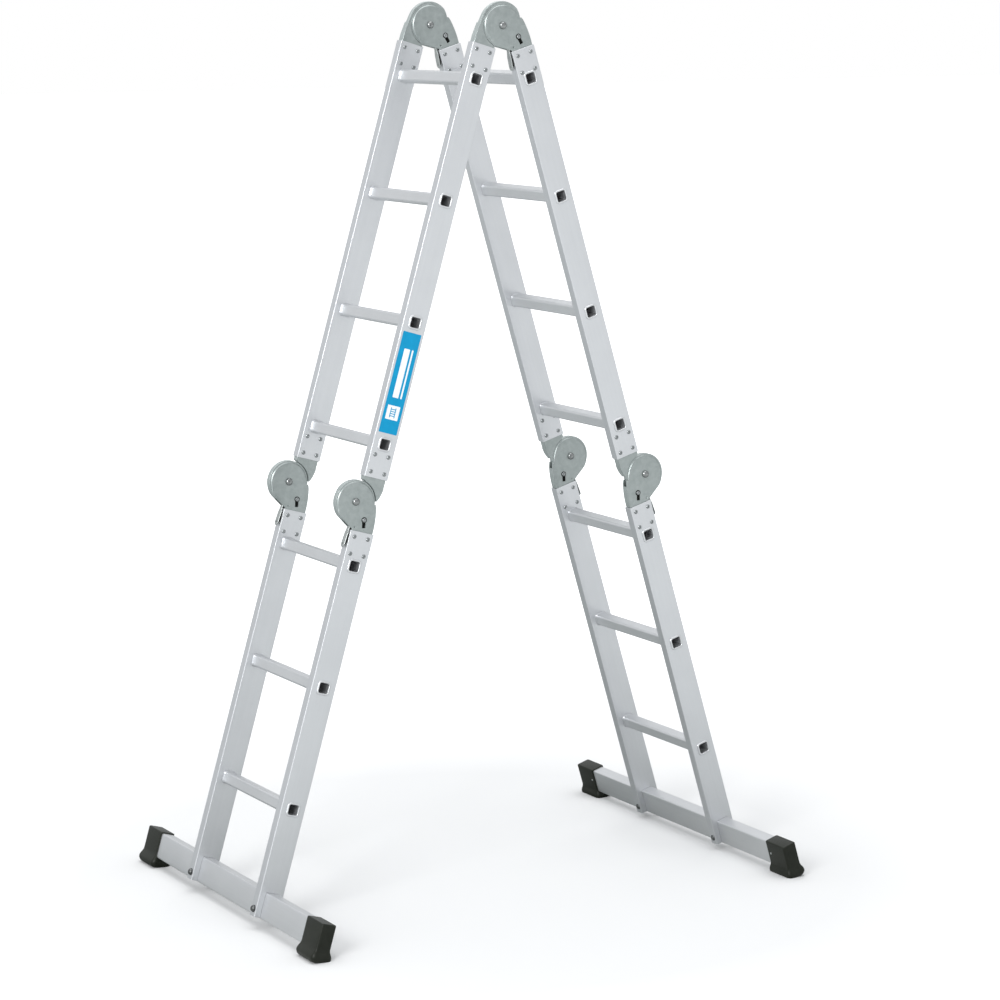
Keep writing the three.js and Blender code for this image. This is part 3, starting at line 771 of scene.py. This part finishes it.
# ---- assembly
lower_stations = [RUNG_1 + RUNG_PITCH * i for i in (4, 5, 6)]
upper_stations = [RUNG_1 + RUNG_PITCH * i for i in range(4)]
lower_stile = stile_mesh(LOWER_TOP, LOWER_END, lower_stations, True)
lower_rivets = rivets_mesh([(LOWER_TOP, 1)])
rung = rung_mesh()
fork = fork_mesh()
pivot_rivet = pivot_rivet_mesh()
yoke, caps, stem_strip = yoke_mesh(), pin_caps_mesh(), stem_mesh()
blade, flanges = blade_meshes()
bar, bolt = bar_mesh(), bolt_mesh()
tongues = {"top": tongue_mesh(FRONT_TOP, True), "knee": tongue_mesh(KNEE_TONGUE, False)}
SIDES = {"left": -1, "right": 1}


def hinge(prefix, stem, where, leg_name, side, tongue_body, fork_body):
    """Pieces of one hinge, named after prefix. Its CAD fork and tongue are named after stem."""
    lock_body = f"{prefix}_lock"
    down = hinge_frame(leg_name, where, side)
    up = hinge_frame("front", "top", side) if where == "top" else hinge_frame(leg_name, "knee_up", side)
    piece(f"{prefix}_fork_plates", fork, down, fork_body, MAT["zinc"], "hinge_zinc", f"{stem}_fork")
    piece(f"{prefix}_pivot_head", pivot_rivet, down, fork_body, MAT["pivot"], "fastener_steel",
          f"{prefix}_pivot_rivet")
    piece(f"{prefix}_lock_yoke", yoke, down, lock_body, MAT["dark"], "fastener_steel",
          f"{prefix}_lock_lever")
    piece(f"{prefix}_lock_pin_caps", caps, down, lock_body, MAT["bright"], "fastener_steel")
    piece(f"{prefix}_lock_stem", stem_strip, down, lock_body, MAT["lever"], "fastener_steel")
    piece(f"{prefix}_lever_blade", blade, down, lock_body, MAT["lever"], "fastener_steel")
    # Near-black flanges: painted shade of the gap between the lever and the stile.
    piece(f"{prefix}_lever_flanges", flanges, down, lock_body, MAT["dark"], "fastener_steel")
    piece(f"{prefix}_tongue_plates", tongues[where], up, tongue_body, MAT["zinc"], "hinge_zinc",
          f"{stem}_tongue")


for leg_name, out in LEGS.items():
    centre, offset, knee = FRAMES[leg_name]
    upper_body, lower_body = f"{leg_name}_upper", f"{leg_name}_lower"
    top = FRONT_TOP if leg_name == "front" else REAR_TOP
    upper_stile = stile_mesh(top, UPPER_END, upper_stations, False)
    upper_rivets = rivets_mesh([(top, 1), (UPPER_END, -1)])
    skin, cross = MAT[leg_name, "stile"], MAT[leg_name, "cross"]
    for side_name, side in SIDES.items():
        shifted = centre @ Matrix.Translation((side * STILE_X, 0, 0))
        stem = f"{leg_name}_upper_{side_name}_stile"
        piece(f"{stem}_tube", upper_stile, shifted, upper_body, skin, "stile_aluminium", stem)
        piece(f"{stem}_rivets", upper_rivets, shifted, upper_body, MAT["bright"], "stile_aluminium")
        stem = f"{leg_name}_lower_{side_name}_stile"
        piece(f"{stem}_tube", lower_stile, shifted, lower_body, skin, "stile_aluminium", stem)
        piece(f"{stem}_rivets", lower_rivets, shifted, lower_body, MAT["bright"], "stile_aluminium")
        outward = shifted @ Matrix.Diagonal((out, out, 1, 1))
        piece(f"{leg_name}_{side_name}_bar_bolt_heads", bolt, outward, lower_body, MAT["bolt"],
              "fastener_steel", f"{leg_name}_{side_name}_bar_bolt")
        piece(f"{leg_name}_{side_name}_foot_moulding", foot_mesh(side, out), centre, lower_body,
              MAT["rubber"], "foot_rubber", f"{leg_name}_{side_name}_foot")
        piece(f"{leg_name}_{side_name}_foot_screw", screw_mesh(side, out), centre, lower_body,
              MAT["lever"], "fastener_steel")
        prefix = f"{leg_name}_knee_{side_name}"
        hinge(prefix, prefix, "knee", leg_name, side, upper_body, lower_body)
        if leg_name == "rear":
            prefix = f"top_{side_name}"
            hinge(prefix, f"{prefix}_hinge", "top", leg_name, side, "front_upper", "rear_upper")
    sections = ("upper", upper_body, upper_stations), ("lower", lower_body, lower_stations)
    for section, body, stations in sections:
        for i, station in enumerate(stations):
            node = f"{leg_name}_{section}_rung_{i + 1}"
            piece(f"{node}_tube", rung, centre @ Matrix.Translation((0, 0, -station)), body, cross,
                  "rung_aluminium", node)
    piece(f"{leg_name}_stabiliser_tube", bar, centre, lower_body, cross, "stile_aluminium",
          f"{leg_name}_stabiliser_bar")

blue, white, mark = label_meshes()
front_centre = FRAMES["front"][0]
piece("side_label_film", blue, front_centre, "front_upper", MAT["blue"], "label_film", "side_label")
piece("side_label_stripes", white, front_centre, "front_upper", MAT["white"], "label_film")
piece("side_label_pictogram", mark, front_centre, "front_upper", MAT["blue"], "label_film")


# ---- floor, light and camera
def floor():
    """Pale studio floor. Emission lifts it to white away from the ladder, and it lights the ladder
    less than it shows to the camera, so that the metal keeps its shading."""
    mesh = bpy.data.meshes.new("floor")
    reach = 60
    corners = [(-reach, -reach, 0), (reach, -reach, 0), (reach, reach, 0), (-reach, reach, 0)]
    mesh.from_pydata(corners, [], [(0, 1, 2, 3)])
    o = bpy.data.objects.new("floor", mesh)
    bpy.context.scene.collection.objects.link(o)
    m, nodes, links, bsdf = new_material("studio_floor")
    bsdf.inputs["Roughness"].default_value = 0.9
    bsdf.inputs["Specular IOR Level"].default_value = 0.0
    path = nodes.new("ShaderNodeLightPath")
    seen = path.outputs["Is Camera Ray"]
    where = nodes.new("ShaderNodeTexCoord")
    away = measure(nodes, links, where.outputs["Object"])
    aside = measure(nodes, links, where.outputs["Object"], (0.9, -0.12, 0.0))
    under = blend(nodes, links, ramp(nodes, links, away, 0.7, 2.2, 0.0, 1.0),
                  (0.27, 0.285, 0.28), (0.35, 0.37, 0.37))
    links.new(blend(nodes, links, seen, under, (0.735, 0.737, 0.74)), bsdf.inputs["Base Color"])
    lift = nodes.new("ShaderNodeEmission")
    level = nodes.new("ShaderNodeMix")
    links.new(seen, level.inputs["Factor"])
    links.new(add(nodes, links, ramp(nodes, links, away, 1.6, 7.0, 0.0, 0.38),
                  ramp(nodes, links, aside, -0.3, 0.8, 0.0, 0.44)), level.inputs["A"])
    links.new(ramp(nodes, links, away, 0.9, 3.4, 0.0, 0.8), level.inputs["B"])
    links.new(level.outputs[0], lift.inputs["Strength"])
    both = nodes.new("ShaderNodeAddShader")
    links.new(bsdf.outputs[0], both.inputs[0])
    links.new(lift.outputs[0], both.inputs[1])
    links.new(both.outputs[0], nodes["Material Output"].inputs["Surface"])
    mesh.materials.append(m)


def surroundings():
    """White to the camera; a soft grey room with a brighter front and ceiling to everything else."""
    world = bpy.data.worlds.new("studio")
    bpy.context.scene.world = world
    world.use_nodes = True
    nodes, links = world.node_tree.nodes, world.node_tree.links
    where = nodes.new("ShaderNodeTexCoord")
    ceiling = measure(nodes, links, where.outputs["Generated"], Vector((0.1, -0.1, 1.0)).normalized())
    front = measure(nodes, links, where.outputs["Generated"], Vector((0.42, -0.90, 0.12)).normalized())
    level = add(nodes, links, ramp(nodes, links, ceiling, -0.6, 1.0, 0.6, 0.95),
                ramp(nodes, links, front, 0.84, 0.97, 0.0, 1.0))
    room = nodes["Background"]
    room.inputs["Color"].default_value = (0.965, 0.985, 1.0, 1)
    links.new(level, room.inputs["Strength"])
    white = nodes.new("ShaderNodeBackground")
    white.inputs["Color"].default_value = (1, 1, 1, 1)
    path = nodes.new("ShaderNodeLightPath")
    mix = nodes.new("ShaderNodeMixShader")
    links.new(path.outputs["Is Camera Ray"], mix.inputs["Fac"])
    links.new(room.outputs[0], mix.inputs[1])
    links.new(white.outputs[0], mix.inputs[2])
    links.new(mix.outputs[0], nodes["World Output"].inputs["Surface"])


def softbox(name, place, target, size, power):
    data = bpy.data.lights.new(name, "AREA")
    data.shape, data.size, data.size_y, data.energy = "RECTANGLE", size[0], size[1], power
    o = bpy.data.objects.new(name, data)
    bpy.context.scene.collection.objects.link(o)
    o.location = place
    o.rotation_euler = (Vector(target) - Vector(place)).to_track_quat("-Z", "Y").to_euler()


def camera():
    """The photograph's viewpoint: azimuth 59.7, elevation 8.7, a 109 mm lens on a 36 mm sensor."""
    azimuth, elevation, roll = (math.radians(a) for a in (59.674, 8.687, -0.204))
    ahead = -Vector((math.sin(azimuth) * math.cos(elevation), -math.cos(azimuth) * math.cos(elevation),
                     math.sin(elevation)))
    right = ahead.cross(Vector((0, 0, 1))).normalized()
    up = right.cross(ahead)
    right, up = (math.cos(roll) * right + math.sin(roll) * up,
                 math.cos(roll) * up - math.sin(roll) * right)
    data = bpy.data.cameras.new("camera")
    data.sensor_width, data.lens = 36, 108.726
    data.shift_x, data.shift_y = -0.010, -0.035
    data.clip_end = 200
    o = bpy.data.objects.new("camera", data)
    bpy.context.scene.collection.objects.link(o)
    turn = Matrix((right, up, -ahead)).transposed().to_4x4()
    o.matrix_world = Matrix.Translation(pivot + Vector((6.0724, -3.4338, 0.0483))) @ turn
    bpy.context.scene.camera = o


floor()
surroundings()
softbox("key", (3.4, -5.2, 3.6), (0, 0, 1.0), (2.4, 2.4), 190)
softbox("top", (-0.6, 0.2, 5.2), (0, 0, 0.8), (4.5, 4.5), 108)
camera()
bpy.context.scene.view_settings.view_transform = "Standard"
